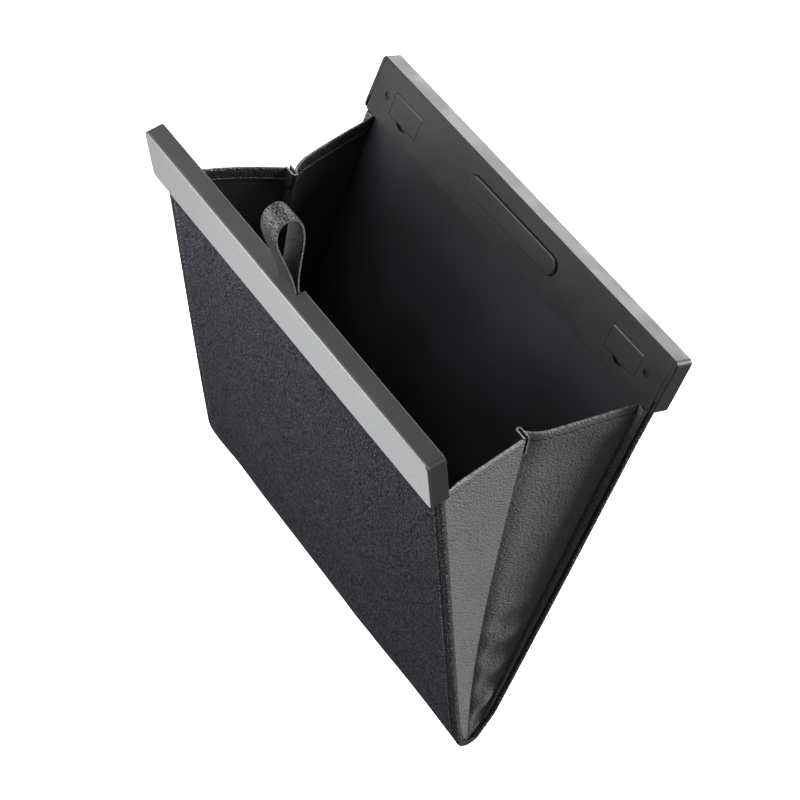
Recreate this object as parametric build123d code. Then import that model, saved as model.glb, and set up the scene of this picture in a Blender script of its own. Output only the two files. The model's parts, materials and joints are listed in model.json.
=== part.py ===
from build123d import *
import os
from math import cos, exp, radians, sin

# Car trash bin: two bars carry two stiff leather panels that meet in a rounded fold at the bottom.
# Two creased gussets close the sides, and magnets behind raised pads hold the mouth shut.
# Frame: X along the bars, +Y to the seat, +Z up, origin at the centre of the rear bar's flat back.
# Each half is drawn in a half frame: X along the bar, Y outwards from the closing plane, Z up from the
# axis of the bottom fold. The rear half stands upright, the front half is mirrored and leans out.

# Driving dimensions, millimetres and degrees
bar_length = 270.0
bar_height = 35.0
bar_thickness = 11.0
bar_corner_radius = 3.0
bar_edge_bevel = 0.5
panel_drop = 250.0
panel_side_inset = 2.0
open_angle = 28.5

# Layers of a panel, from the outside to the inside
leather_thickness = 1.2
board_thickness = 1.5
lining_thickness = 0.6
edge_round = 1.0
board_side_gap = 0.3
board_fold_gap = 3.0
fold_gap = 0.1

# Bar shells and covers
shell_wall = 2.0
shell_top_wall = 1.6
shell_end_wall = 2.6
cavity_end_wall = 5.0
cover_thickness = 2.2
cover_groove = 0.15
cover_edge_chamfer = 0.2
clamp_depth = 8.0
slot_clearance = 0.3
trim_thickness = 1.6
trim_bevel = 0.6

# Magnets and the pads that meet when the mouth is shut
pad_length = 80.0
pad_width = 12.0
pad_rise = 1.6
pad_seat_depth = 0.8
pad_seat_gap = 0.25
pad_edge_round = 0.9
pad_meeting_gap = 0.4
pad_height_above_middle = 1.5
magnet_length = 60.0
magnet_height = 8.0
magnet_thickness = 3.0
magnet_pocket_gap = 0.1
magnet_pocket_wall = 1.2
magnet_pocket_depth = 2.4
magnet_post_width = 6.0
magnet_post_spacing = 40.0

# Screws that hold each cover
screw_from_end = 15.0
screw_above_bar_low = 16.7
screw_head_diameter = 4.0
screw_head_height = 1.0
screw_head_bevel = 0.25
screw_head_sink = 0.3
screw_recess_diameter = 4.6
screw_shank_diameter = 1.9
screw_pilot_diameter = 2.0
screw_hole_diameter = 2.4
screw_tip_gap = 1.0
screw_boss_diameter = 5.6
screw_slot_width = 0.7
screw_slot_depth = 0.5
screw_slot_length = 2.4

# Liner clips on the rear bar
clip_from_end = 33.6
clip_width = 25.4
clip_height = 14.3
clip_above_bar_low = 9.1
clip_thickness = 1.8
clip_gap = 0.3
clip_knuckle_radius = 1.4
clip_pin_diameter = 1.6
clip_pin_length = 2.4
clip_pin_clearance = 0.05
clip_pin_end_gap = 0.2
clip_boss_wall = 0.9
clip_stop_gap = 0.1
clip_stop_reach = 1.3
clip_stop_height = 3.0
clip_stop_thickness = 1.3
finger_notch_width = 10.0
finger_notch_depth = 2.5

# Pull loop and its notch in the front bar
loop_width = 14.4
loop_strap = 1.3
loop_rise = 54.0
loop_radius = 7.6
loop_lean = 4.0
loop_tail = 9.5
loop_notch_width = 16.8
loop_notch_depth = 6.0
loop_notch_clearance = 0.4

# Gussets
gusset_thickness = 1.4
gusset_inset = 2.6
gusset_seam_gap = 0.2
gusset_hem_drop = 1.5
gusset_top_dip = 2.5
gusset_crease_low = 1.6
gusset_crease_inward = 15.5
gusset_crease_run = 80.0
gusset_crease_overlap = 0.7
gusset_rear_strip = 5.5
gusset_front_strip = 1.5
gusset_strip_share = 0.4
gusset_low = 0.5
gusset_fold_gap = 0.6
pinch_reach = 8.0
pinch_height = 13.0
pinch_thickness = 3.0
pinch_wall = 1.1

# Shape of a wing's sweep from its glued strip to the crease: shares of the way inwards and across
hollow_sweep = ((0.0, 0.0), (0.3, 0.2), (0.58, 0.44), (0.81, 0.71), (1.0, 1.0))
straight_sweep = ((0.0, 0.0), (1.0, 1.0))
wing_heights = (0.0, 0.12, 0.3, 0.58, 1.0)

# Places worked out from the sizes above, in the half frame
closed_gap = 2 * pad_rise + pad_meeting_gap
inner_y = closed_gap / 2
lining_y = inner_y + cover_thickness
board_y = lining_y + lining_thickness
leather_y = board_y + board_thickness
panel_y = leather_y + leather_thickness
outer_y = inner_y + bar_thickness
shell_front_y = outer_y - trim_thickness
bar_low = panel_drop
bar_top = bar_low + bar_height
bar_middle = bar_low + bar_height / 2
clamp_top = bar_low + clamp_depth
panel_width = bar_length - 2 * panel_side_inset
half_panel = panel_width / 2
pad_z = bar_middle + pad_height_above_middle
screw_x = bar_length / 2 - screw_from_end
screw_z = bar_low + screw_above_bar_low
clip_x = bar_length / 2 - clip_from_end
clip_low = bar_low + clip_above_bar_low
clip_top = clip_low + clip_height
clip_pin_y = inner_y + clip_knuckle_radius
clip_pin_z = clip_top - clip_knuckle_radius
magnet_back_y = lining_y + magnet_thickness
cover_half = bar_length / 2 - shell_end_wall - cover_groove
cover_top = bar_top - shell_top_wall - cover_groove
loop_tail_y = lining_y + loop_strap
notch_back_y = lining_y + 2 * loop_strap + loop_notch_clearance
notch_low = bar_top - loop_notch_depth
loop_eye_y = loop_tail_y - loop_lean
loop_eye_z = bar_top + loop_rise - loop_radius
half_opening = open_angle / 2
gusset_hem_z = bar_low - gusset_hem_drop
gusset_seam_x = half_panel - gusset_inset
gusset_seam_y = lining_y - gusset_seam_gap
crease_top = gusset_hem_z * cos(radians(half_opening)) - gusset_top_dip
crease_bottom = gusset_fold_gap - lining_y
hinge_y = -outer_y
hinge_z = -bar_middle


def block(x_span, y_span, z_span):
    """A box given by its spans along X, Y and Z."""
    spans = (x_span, y_span, z_span)
    middle = [(low + high) / 2 for low, high in spans]
    return Pos(*middle) * Box(*[high - low for low, high in spans])


def plate(outline, y_low, y_high):
    """A flat outline in the XZ plane, thickened from y_low to y_high."""
    return extrude(Plane.XZ.offset(-y_low) * outline, amount=y_low - y_high)


def rod_y(diameter, x, z, y_low, y_high):
    """A round rod along Y."""
    return plate(Pos(x, z) * Circle(diameter / 2), y_low, y_high)


def rod_x(diameter, y, z, x_low, x_high):
    """A round rod along X."""
    return Pos((x_low + x_high) / 2, y, z) * Rot(0, 90, 0) * Cylinder(diameter / 2, x_high - x_low)


def end_face_edges(solid, end):
    """The edges of the face furthest towards one end of Y: 0 is the inner end, -1 the outer end."""
    return solid.faces().sort_by(Axis.Y)[end].edges()


# Bars

def bar_outline():
    return Pos(0, bar_middle) * RectangleRounded(bar_length, bar_height, bar_corner_radius)


def cover_outline(margin):
    """The cover's outline; margin widens it to the seat in the shell."""
    low = bar_low
    high = cover_top + margin
    return Pos(0, (low + high) / 2) * Rectangle(2 * (cover_half + margin), high - low)


def bar_shell(back_y):
    """A tray that is open to the inner side, with a shelf that clamps the panel against the cover."""
    shell = plate(bar_outline(), inner_y, back_y)
    shell = chamfer(end_face_edges(shell, 0), bar_edge_bevel)
    shell -= plate(cover_outline(cover_groove), inner_y, lining_y)
    cavity_half = bar_length / 2 - cavity_end_wall
    cavity_back = back_y - shell_wall
    shell -= block((-cavity_half, cavity_half), (inner_y, cavity_back), (clamp_top, bar_top - shell_top_wall))
    slot_half = half_panel + slot_clearance
    shell -= block((-slot_half, slot_half), (inner_y, panel_y), (bar_low, clamp_top))
    for side in (-1, 1):
        boss = rod_y(screw_boss_diameter, side * screw_x, screw_z, lining_y, cavity_back)
        shell += boss - rod_y(screw_pilot_diameter, side * screw_x, screw_z, lining_y, cavity_back)
        post_x = side * magnet_post_spacing / 2
        post_span = (post_x - magnet_post_width / 2, post_x + magnet_post_width / 2)
        post_height = (pad_z - magnet_height / 2, pad_z + magnet_height / 2)
        shell += block(post_span, (magnet_back_y, cavity_back), post_height)
    return shell


def bar_cover():
    """The inner plate with the pad's seat, the magnet's pocket and two countersunk screw holes."""
    cover = plate(cover_outline(0), inner_y, lining_y)
    cover = chamfer(end_face_edges(cover, 0), cover_edge_chamfer)
    seat = Pos(0, pad_z) * SlotOverall(pad_length + 2 * pad_seat_gap, pad_width + 2 * pad_seat_gap)
    cover -= plate(seat, inner_y, inner_y + pad_seat_depth)
    pocket_length = magnet_length + 2 * magnet_pocket_gap
    pocket_height = magnet_height + 2 * magnet_pocket_gap
    frame = Rectangle(pocket_length + 2 * magnet_pocket_wall, pocket_height + 2 * magnet_pocket_wall)
    frame -= Rectangle(pocket_length, pocket_height)
    cover += plate(Pos(0, pad_z) * frame, lining_y, lining_y + magnet_pocket_depth)
    for side in (-1, 1):
        cover -= rod_y(screw_hole_diameter, side * screw_x, screw_z, inner_y, lining_y)
        head_floor = inner_y + screw_head_sink + screw_head_height
        cover -= rod_y(screw_recess_diameter, side * screw_x, screw_z, inner_y, head_floor)
    return cover


def bar_screws(back_y):
    """Two pan-head screws with a cross slot; each shank ends short of its boss's floor."""
    screws = []
    head_y = inner_y + screw_head_sink
    seat_y = head_y + screw_head_height
    for side in (-1, 1):
        x = side * screw_x
        screw = rod_y(screw_head_diameter, x, screw_z, head_y, seat_y)
        screw = chamfer(end_face_edges(screw, 0), screw_head_bevel)
        screw += rod_y(screw_shank_diameter, x, screw_z, seat_y, back_y - shell_wall - screw_tip_gap)
        reach = screw_slot_length / 2
        for long_x, long_z in ((reach, screw_slot_width / 2), (screw_slot_width / 2, reach)):
            screw -= block((x - long_x, x + long_x), (head_y, head_y + screw_slot_depth),
                           (screw_z - long_z, screw_z + long_z))
        screws.append(screw)
    return screws


def magnet_pad():
    """The raised pill that meets its mate when the mouth shuts."""
    pill = Pos(0, pad_z) * SlotOverall(pad_length, pad_width)
    pad = plate(pill, inner_y - pad_rise, inner_y + pad_seat_depth)
    return fillet(end_face_edges(pad, 0), pad_edge_round)


def magnet():
    half = magnet_length / 2
    height = (pad_z - magnet_height / 2, pad_z + magnet_height / 2)
    return block((-half, half), (lining_y, magnet_back_y), height)


# Liner clips

def clip_window(side):
    """The opening for one clip, with the finger notch under its lower edge."""
    x = side * clip_x
    half = clip_width / 2 + clip_gap
    depth = (inner_y, lining_y)
    window = block((x - half, x + half), depth, (clip_low - clip_gap, clip_top + clip_gap))
    notch_radius = ((finger_notch_width / 2) ** 2 + finger_notch_depth ** 2) / (2 * finger_notch_depth)
    notch_z = clip_low - clip_gap - finger_notch_depth + notch_radius
    notch = rod_y(2 * notch_radius, x, notch_z, *depth)
    notch &= block((x - half, x + half), depth, (bar_low, clip_low))
    return window + notch


def clip_bearings(side):
    """Two bored bosses and two stop tabs beside one window, on the back of the cover."""
    x = side * clip_x
    edge = clip_width / 2 + clip_gap
    bore = clip_pin_diameter / 2 + clip_pin_clearance
    boss_half = bore + clip_boss_wall
    boss_reach = clip_pin_length + clip_pin_end_gap + clip_boss_wall
    stop_y = inner_y + clip_thickness + clip_stop_gap
    stop_z = clip_low + clip_gap
    bearings = []
    for end in (-1, 1):
        near = x + end * edge
        boss = block(sorted((near, near + end * boss_reach)), (lining_y, clip_pin_y + boss_half),
                     (clip_pin_z - boss_half, clip_pin_z + boss_half))
        stop = block(sorted((near - end * clip_stop_reach, near + end * boss_reach)),
                     (stop_y, stop_y + clip_stop_thickness), (stop_z, stop_z + clip_stop_height))
        bearings += [boss, stop]
    return bearings


def clip_bores(side):
    x = side * clip_x
    reach = clip_width / 2 + clip_pin_length + clip_pin_end_gap
    return rod_x(clip_pin_diameter + 2 * clip_pin_clearance, clip_pin_y, clip_pin_z, x - reach, x + reach)


def rear_cover():
    """The rear bar's cover also carries the two liner clips."""
    cover = bar_cover()
    for side in (-1, 1):
        cover -= clip_window(side)
        for bearing in clip_bearings(side):
            cover += bearing
        cover -= clip_bores(side)
    return cover


def liner_clip(side):
    """A flat clip with a rounded knuckle along its top and a pin at each end of the knuckle."""
    x = side * clip_x
    half = clip_width / 2
    clip = block((x - half, x + half), (inner_y, inner_y + clip_thickness), (clip_low, clip_pin_z))
    clip += rod_x(2 * clip_knuckle_radius, clip_pin_y, clip_pin_z, x - half, x + half)
    reach = half + clip_pin_length
    clip += rod_x(clip_pin_diameter, clip_pin_y, clip_pin_z, x - reach, x + reach)
    return clip


# Panels

def leather_panel(low):
    """Outer leather whose side edges are rolled round the board and the lining."""
    panel = block((-half_panel, half_panel), (lining_y, panel_y), (low, clamp_top))
    corners = panel.edges().filter_by(Axis.Z)
    panel = fillet(corners, edge_round)
    inside = half_panel - leather_thickness
    panel -= block((-inside, inside), (lining_y, leather_y), (low, clamp_top))
    return panel


def layer(y_low, y_high, low):
    """A flat layer inside the leather: the board or the lining."""
    half = half_panel - leather_thickness - board_side_gap
    return block((-half, half), (y_low, y_high), (low, clamp_top))


def bottom_fold():
    """The turn of leather and lining round the hinge line, from the rear panel to the front panel."""
    section = Pos(0, (lining_y + panel_y) / 2) * Rectangle(panel_width, panel_y - lining_y)
    turn = 180 - open_angle
    fold = revolve(section, Axis.X, -turn)
    ends = fold.edges().filter_by(GeomType.CIRCLE).filter_by(lambda edge: edge.radius > leather_y)
    return fillet(ends, edge_round)


# Gussets, in the rear half frame at the open angle

def on_bisector(x, along):
    """A point on the plane midway between the two panels, at a distance along it from the hinge line."""
    return (x, -along * sin(radians(half_opening)), along * cos(radians(half_opening)))


def crease_x(along):
    """The crease leaves the seam quickly above the fold and then runs nearly straight."""
    inward = gusset_crease_inward * (1 - exp(-max(along, 0) / gusset_crease_run))
    return gusset_seam_x - gusset_crease_low - inward


def wing_section(share, strip, sweep):
    """Outline of a wing at a share of its height: a strip glued to the lining, then a sweep to the crease."""
    seam_z = gusset_low + share * (gusset_hem_z - gusset_low)
    along = crease_bottom + share * (crease_top - crease_bottom)
    far_x, far_y, far_z = on_bisector(crease_x(along), along)
    across = Vector(0, far_y - gusset_seam_y, far_z - seam_z)
    reach = across.length + gusset_crease_overlap - gusset_thickness
    foot_x = gusset_seam_x - min(strip, gusset_strip_share * (gusset_seam_x - far_x))
    face = [(gusset_seam_x, gusset_thickness)]
    back = [(gusset_seam_x, 0)]
    for inward, forward in sweep:
        x = foot_x + (far_x - foot_x) * inward
        y = gusset_thickness + reach * forward
        face.append((x, y))
        back.append((x - gusset_thickness * (1 + inward) / 2, y - gusset_thickness * (1 - forward)))
    level = Plane(origin=(0, gusset_seam_y, seam_z), x_dir=(1, 0, 0), z_dir=Vector(1, 0, 0).cross(across))
    return [level.from_local_coords(Vector(x, y, 0)) for x, y in face + back[::-1]]


def polygon(*corners):
    return Face(Wire.make_polygon(corners))


def gusset_wing(strip, sweep):
    """One wing of the right gusset, in the rear half frame: flat facets between sections at a few heights."""
    sections = [wing_section(share, strip, sweep) for share in wing_heights]
    faces = [polygon(*sections[0]), polygon(*sections[-1])]
    for low, high in zip(sections, sections[1:]):
        for corner in range(len(low)):
            following = (corner + 1) % len(low)
            near, far = (corner, following) if corner < len(low) / 2 else (following, corner)
            faces += [polygon(low[near], low[far], high[far]), polygon(low[near], high[far], high[near])]
    return Solid(Shell(faces))


def crease_pinch():
    """The hem folded into a narrow loop that stands inwards at the top of the crease."""
    top_x = crease_x(crease_top)
    outline = Rectangle(pinch_reach, pinch_thickness) - Pos(pinch_wall, 0) * Rectangle(
        pinch_reach, pinch_thickness - 2 * pinch_wall)
    pinch = extrude(Pos(top_x - pinch_reach / 2, 0, crease_top - pinch_height) * outline, amount=pinch_height)
    return Rot(half_opening, 0, 0) * pinch


def right_gusset():
    """Both wings of one gusset and the pinch at the top of the crease."""
    midway = Plane(origin=(0, 0, 0), x_dir=(1, 0, 0),
                   z_dir=(0, cos(radians(half_opening)), sin(radians(half_opening))))
    rear = gusset_wing(gusset_rear_strip, hollow_sweep)
    front = gusset_wing(gusset_front_strip, straight_sweep).mirror(midway)
    return rear + front + crease_pinch()


# Pull loop, in the half frame of the front bar

def loop_outline(radius, foot):
    """A round head on straight sides that run down to the points of the foot."""
    sides = [(loop_eye_y + radius, loop_eye_z), (loop_eye_y - radius, loop_eye_z)]
    return make_face(Polyline(*foot, *sides, close=True)) + Pos(loop_eye_y, loop_eye_z) * Circle(radius)


def pull_loop():
    """A strap folded double: both ends go down into the bar and the bight stands up as a teardrop."""
    tail_y = (loop_tail_y - loop_strap, loop_tail_y + loop_strap)
    outline = loop_outline(loop_radius, [(y, bar_top) for y in tail_y])
    hole = loop_outline(loop_radius - loop_strap, [(loop_tail_y, bar_top + 2 * loop_strap)])
    half = loop_width / 2
    band = extrude(Plane.YZ * (outline - hole), amount=half, both=True)
    return band + block((-half, half), tail_y, (bar_top - loop_tail, bar_top))


def loop_notch():
    half = loop_notch_width / 2
    return block((-half, half), (inner_y, notch_back_y), (notch_low, bar_top))


def front_shell():
    shell = bar_shell(shell_front_y)
    half = loop_notch_width / 2
    rib_low = bar_top - loop_tail
    rib_y = lining_y + 2 * loop_strap
    shell += block((-half, half), (rib_y, shell_front_y - shell_wall), (rib_low, bar_top - shell_top_wall))
    return shell - loop_notch()


def front_trim():
    """The strip of metal that covers the whole outer face, with a polished bevel round its edge."""
    trim = plate(bar_outline(), shell_front_y, outer_y)
    return chamfer(end_face_edges(trim, -1), trim_bevel)


# Assembly: the rear half stands at the seat, the front half is mirrored and opened

to_rear = Pos(0, hinge_y, hinge_z)


def place_rear(shape):
    return to_rear * shape


def place_front(shape):
    return to_rear * Rot(open_angle, 0, 0) * shape.mirror(Plane.XZ)


rear_parts = {
    "rear_bar_shell": [bar_shell(outer_y)],
    "rear_bar_cover": [rear_cover()],
    "rear_bar_screws": bar_screws(outer_y),
    "rear_magnet": [magnet()],
    "rear_magnet_pad": [magnet_pad()],
    "left_liner_clip": [liner_clip(-1)],
    "right_liner_clip": [liner_clip(1)],
    "rear_panel": [leather_panel(0)],
    "rear_board": [layer(board_y, leather_y, board_fold_gap)],
    "rear_lining": [layer(lining_y, board_y, 0)],
    "bottom_fold": [bottom_fold()],
    "left_gusset": [right_gusset().mirror(Plane.YZ)],
    "right_gusset": [right_gusset()],
}

front_parts = {
    "front_bar_shell": [front_shell()],
    "front_bar_trim": [front_trim()],
    "front_bar_cover": [bar_cover() - loop_notch()],
    "front_bar_screws": bar_screws(shell_front_y),
    "front_magnet": [magnet()],
    "front_magnet_pad": [magnet_pad()],
    "front_panel": [leather_panel(fold_gap)],
    "front_board": [layer(board_y, leather_y, board_fold_gap)],
    "front_lining": [layer(lining_y, board_y, fold_gap)],
    "pull_loop": [pull_loop()],
}

os.makedirs("parts", exist_ok=True)
for place, parts in ((place_rear, rear_parts), (place_front, front_parts)):
    for name, solids in parts.items():
        placed = [place(solid) for solid in solids]
        shape = placed[0] if len(placed) == 1 else Compound(children=placed)
        export_step(shape, f"parts/{name}.step")
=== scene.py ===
import json
import math

import bmesh
import bpy
import numpy as np
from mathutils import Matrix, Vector, noise


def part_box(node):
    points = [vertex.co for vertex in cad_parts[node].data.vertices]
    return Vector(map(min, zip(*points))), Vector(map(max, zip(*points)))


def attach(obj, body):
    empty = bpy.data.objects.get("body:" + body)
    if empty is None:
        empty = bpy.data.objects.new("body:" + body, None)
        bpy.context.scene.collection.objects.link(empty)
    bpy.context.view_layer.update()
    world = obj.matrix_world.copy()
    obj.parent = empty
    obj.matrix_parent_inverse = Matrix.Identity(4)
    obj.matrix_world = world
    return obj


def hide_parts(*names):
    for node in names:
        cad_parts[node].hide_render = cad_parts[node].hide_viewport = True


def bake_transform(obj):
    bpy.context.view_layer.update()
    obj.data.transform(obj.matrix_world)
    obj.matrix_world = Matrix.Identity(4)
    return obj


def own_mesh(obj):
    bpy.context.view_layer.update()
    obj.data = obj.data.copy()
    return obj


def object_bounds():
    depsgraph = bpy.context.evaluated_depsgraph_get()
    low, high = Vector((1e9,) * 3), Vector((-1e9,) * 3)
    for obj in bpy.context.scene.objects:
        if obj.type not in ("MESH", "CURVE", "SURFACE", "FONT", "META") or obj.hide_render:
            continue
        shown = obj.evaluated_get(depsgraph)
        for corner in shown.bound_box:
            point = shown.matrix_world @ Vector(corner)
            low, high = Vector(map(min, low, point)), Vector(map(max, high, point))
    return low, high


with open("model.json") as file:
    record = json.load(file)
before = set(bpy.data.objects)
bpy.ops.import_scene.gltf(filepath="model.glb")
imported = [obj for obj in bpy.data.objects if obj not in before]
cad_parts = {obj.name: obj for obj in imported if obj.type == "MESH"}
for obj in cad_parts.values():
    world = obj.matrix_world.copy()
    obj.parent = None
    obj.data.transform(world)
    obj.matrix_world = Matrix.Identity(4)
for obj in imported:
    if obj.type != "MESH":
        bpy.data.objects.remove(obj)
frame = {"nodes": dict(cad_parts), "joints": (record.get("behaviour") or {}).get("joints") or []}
cad_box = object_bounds()
cad = frame["nodes"]


# Boards: grey card, one in each panel, that keeps the leather flat and lets the front swing as a leaf.
# Die-cut, glued between the leather and the lining, and bowed a little by the pull of the seams.

halves = {"rear": -1, "front": 1}
swing = next(joint for joint in frame["joints"] if joint["name"] == "front_swing")
hinge_y, hinge_z = swing["pos_m"][1:]
opening = -math.radians(swing["range_deg"][0])
half_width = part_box("rear_panel")[1][0]
leather_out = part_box("rear_panel")[1][1] - hinge_y
lining_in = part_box("rear_lining")[0][1] - hinge_y
board_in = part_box("rear_board")[0][1] - hinge_y
board_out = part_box("rear_board")[1][1] - hinge_y
board_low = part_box("rear_board")[0][2] - hinge_z
board_half_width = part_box("rear_board")[1][0]
panel_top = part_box("rear_panel")[1][2] - hinge_z
bar_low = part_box("rear_bar_shell")[0][2] - hinge_z
bar_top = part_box("rear_bar_shell")[1][2] - hinge_z
half_turn = leather_out * (math.pi - opening) / 2
front_belly_left = 0.0055
front_belly_right = 0.0017
rear_belly = 0.0045
belly_full = 0.032
belly_ends = 0.236
belly_curve = 1.25
board_step_across = 0.012
board_step_along = 0.006
sharp_edge = math.radians(50)
card_dark = (0.16, 0.13, 0.10)
card_light = (0.30, 0.26, 0.21)
card_relief = 0.00008


def smooth(share):
    """An S-shaped blend from 0 to 1."""
    share = np.clip(share, 0, 1)
    return share * share * (3 - 2 * share)


def belly(x, along):
    """How far the soft wrap stands out from a flat panel: most low down, none at the turn and the bar."""
    front = front_belly_left + (front_belly_right - front_belly_left) * (x / half_width + 1) / 2
    reach = np.abs(along)
    fall = np.clip((reach - belly_full) / (belly_ends - belly_full), 0, 1)
    return np.where(along > 0, front, rear_belly) * smooth(reach / belly_full) * (1 - fall ** belly_curve)


def wrap(x, lift, along):
    """Places in the row frame: x across the bin, lift out from the hinge line, along from the bottom turn.
    Along is plus towards the front bar and minus towards the rear bar."""
    x, lift, along = np.broadcast_arrays(x, lift, along)
    turn = (math.pi - opening) / 2 + np.clip(along, -half_turn, half_turn) / leather_out
    run = np.maximum(np.abs(along) - half_turn, 0)
    up_y = np.where(along > 0, -math.sin(opening), 0.0)
    up_z = np.where(along > 0, math.cos(opening), 1.0)
    reach = lift + belly(x, along)
    y = hinge_y + np.cos(turn) * reach + up_y * run
    z = hinge_z - np.sin(turn) * reach + up_z * run
    return np.stack([x, y, z], axis=-1)


def steps(first, last, size):
    """Even places from first to last, about size apart."""
    return np.linspace(first, last, max(2, round(abs(last - first) / size) + 1))


def ripple(points, size, height):
    """Smooth uneven rise over a grid of points, at most about height either way."""
    flat = points.reshape(-1, 3) / size
    return height * np.array([noise.noise(Vector(p)) for p in flat]).reshape(points.shape[:-1])


def sheet_piece(name, face, back, flat, finishes, face_finish=0, back_finish=0, rim_finish=(0, 0, 0, 0)):
    """A closed sheet between two grids of points, with its flat cut as a UV map in metres.
    The finish numbers are for the cells of the face, those of the back, and the rims at the first row,
    last column, last row and first column."""
    rows, columns = face.shape[:2]
    face_finish = np.broadcast_to(face_finish, (rows - 1, columns - 1))
    back_finish = np.broadcast_to(back_finish, (rows - 1, columns - 1))
    index = np.arange(rows * columns).reshape(rows, columns)
    other = index + rows * columns
    faces, numbers = [], []
    for row in range(rows - 1):
        for column in range(columns - 1):
            near, far = index[row, column], index[row, column + 1]
            faces.append((near, far, index[row + 1, column + 1], index[row + 1, column]))
            near, far = other[row, column], other[row, column + 1]
            faces.append((near, other[row + 1, column], other[row + 1, column + 1], far))
            numbers += [int(face_finish[row, column]), int(back_finish[row, column])]
    rims = [index[0, :], index[:, -1], index[-1, ::-1], index[::-1, 0]]
    for rim, number in zip(rims, rim_finish):
        for near, far in zip(rim[:-1], rim[1:]):
            faces.append((near, near + rows * columns, far + rows * columns, far))
            numbers.append(number)
    mesh = bpy.data.meshes.new(name)
    mesh.from_pydata(np.concatenate([face.reshape(-1, 3), back.reshape(-1, 3)]).tolist(), [], faces)
    mesh.polygons.foreach_set("material_index", numbers)
    places = np.concatenate([flat.reshape(-1, 2)] * 2)
    corners = np.empty(len(mesh.loops), dtype=np.int32)
    mesh.loops.foreach_get("vertex_index", corners)
    mesh.uv_layers.new(name="flat").data.foreach_set("uv", places[corners].astype(np.float32).ravel())
    work = bmesh.new()
    work.from_mesh(mesh)
    bmesh.ops.recalc_face_normals(work, faces=work.faces)
    work.to_mesh(mesh)
    work.free()
    mesh.shade_smooth()
    mesh.set_sharp_from_angle(angle=sharp_edge)
    for finish in finishes:
        mesh.materials.append(finish)
    piece = bpy.data.objects.new(name, mesh)
    bpy.context.scene.collection.objects.link(piece)
    return piece


def new_finish(name, sockets):
    """A material with one Principled shader, with the given sockets set on it."""
    made = bpy.data.materials.new(name)
    made.use_nodes = True
    shader = made.node_tree.nodes["Principled BSDF"]
    for socket, value in sockets.items():
        shader.inputs[socket].default_value = value
    return made


def add_node(finish, kind, inputs, output=0, **settings):
    """One shader node. An input is a number, a colour or the socket that feeds it."""
    made = finish.node_tree.nodes.new("ShaderNode" + kind)
    for name, value in settings.items():
        setattr(made, name, value)
    for name, value in inputs.items():
        if isinstance(value, bpy.types.NodeSocket):
            finish.node_tree.links.new(value, made.inputs[name])
        else:
            made.inputs[name].default_value = value
    return made.outputs[output]


def feed(finish, socket, source):
    """Feeds one socket of a finish's shader."""
    finish.node_tree.links.new(source, finish.node_tree.nodes["Principled BSDF"].inputs[socket])


def ramp(finish, factor, low, high, low_at=0.35, high_at=0.65):
    """A blend from one grey or colour to another as the factor rises."""
    made = finish.node_tree.nodes.new("ShaderNodeValToRGB")
    finish.node_tree.links.new(factor, made.inputs[0])
    for element, place, value in zip(made.color_ramp.elements, (low_at, high_at), (low, high)):
        element.position = place
        element.color = (*value, 1) if isinstance(value, tuple) else (value, value, value, 1)
    return made.outputs[0]


def relief(finish, height, depth, strength=1.0, under=None):
    """Bump from a height map; under is the relief that it lies on."""
    inputs = {"Height": height, "Distance": depth, "Strength": strength}
    if under is not None:
        inputs["Normal"] = under
    return add_node(finish, "Bump", inputs)


grey_card = new_finish("grey card", {"Roughness": 0.9})
card_place = add_node(grey_card, "TexCoord", {}, "Object")
card_fibre = add_node(grey_card, "TexNoise",
                      {"Vector": card_place, "Scale": 420.0, "Detail": 6.0, "Roughness": 0.7})
feed(grey_card, "Base Color", ramp(grey_card, card_fibre, card_dark, card_light))
feed(grey_card, "Normal", relief(grey_card, card_fibre, card_relief))

for half, direction in halves.items():
    x = steps(-board_half_width, board_half_width, board_step_across)[None, :]
    along = direction * steps(half_turn + board_low, half_turn + panel_top, board_step_along)[:, None]
    flat = np.stack(np.broadcast_arrays(x, along), axis=-1)
    face = wrap(x, board_out, along)
    back = wrap(x, board_in, along)
    board = sheet_piece(f"{half}_board_card", face, back, flat, [grey_card])
    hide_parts(f"{half}_board")
    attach(board, half)


# Lining: thin black cloth with a calendered face, glued over the inner side of each board.
# It is stretched flat, with faint ripples where the glue let go.

lining_ripple = 0.00022
lining_ripple_size = 0.045
lining_held = 0.02
lining_step = 0.004
lining_dark = (0.022, 0.020, 0.023)
lining_light = (0.036, 0.034, 0.042)
weave_relief = 0.00004

lining_cloth = new_finish("black lining", {"Specular IOR Level": 0.25, "Sheen Weight": 0.05,
                                           "Sheen Roughness": 0.4})
cloth_place = add_node(lining_cloth, "UVMap", {}, uv_map="flat")
cloth_cloud = add_node(lining_cloth, "TexNoise", {"Vector": cloth_place, "Scale": 9.0, "Detail": 3.0})
cloth_weave = add_node(lining_cloth, "TexNoise", {"Vector": cloth_place, "Scale": 2600.0, "Detail": 2.0})
feed(lining_cloth, "Base Color", ramp(lining_cloth, cloth_cloud, lining_dark, lining_light))
feed(lining_cloth, "Roughness", ramp(lining_cloth, cloth_cloud, 0.46, 0.58))
feed(lining_cloth, "Normal", relief(lining_cloth, cloth_weave, weave_relief, 0.5))

for half, direction in halves.items():
    x = steps(-board_half_width, board_half_width, lining_step)[None, :]
    along = direction * steps(half_turn, half_turn + panel_top, lining_step)[:, None]
    flat = np.stack(np.broadcast_arrays(x, along), axis=-1)
    clear_of_bar = smooth((half_turn + bar_low - np.abs(along)) / lining_held)
    swell = ripple(wrap(x, lining_in, along), lining_ripple_size, lining_ripple) * clear_of_bar
    face = wrap(x, lining_in + swell, along)
    back = wrap(x, board_in, along)
    cloth = sheet_piece(f"{half}_lining_cloth", face, back, flat, [lining_cloth])
    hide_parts(f"{half}_lining")
    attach(cloth, half)


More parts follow.
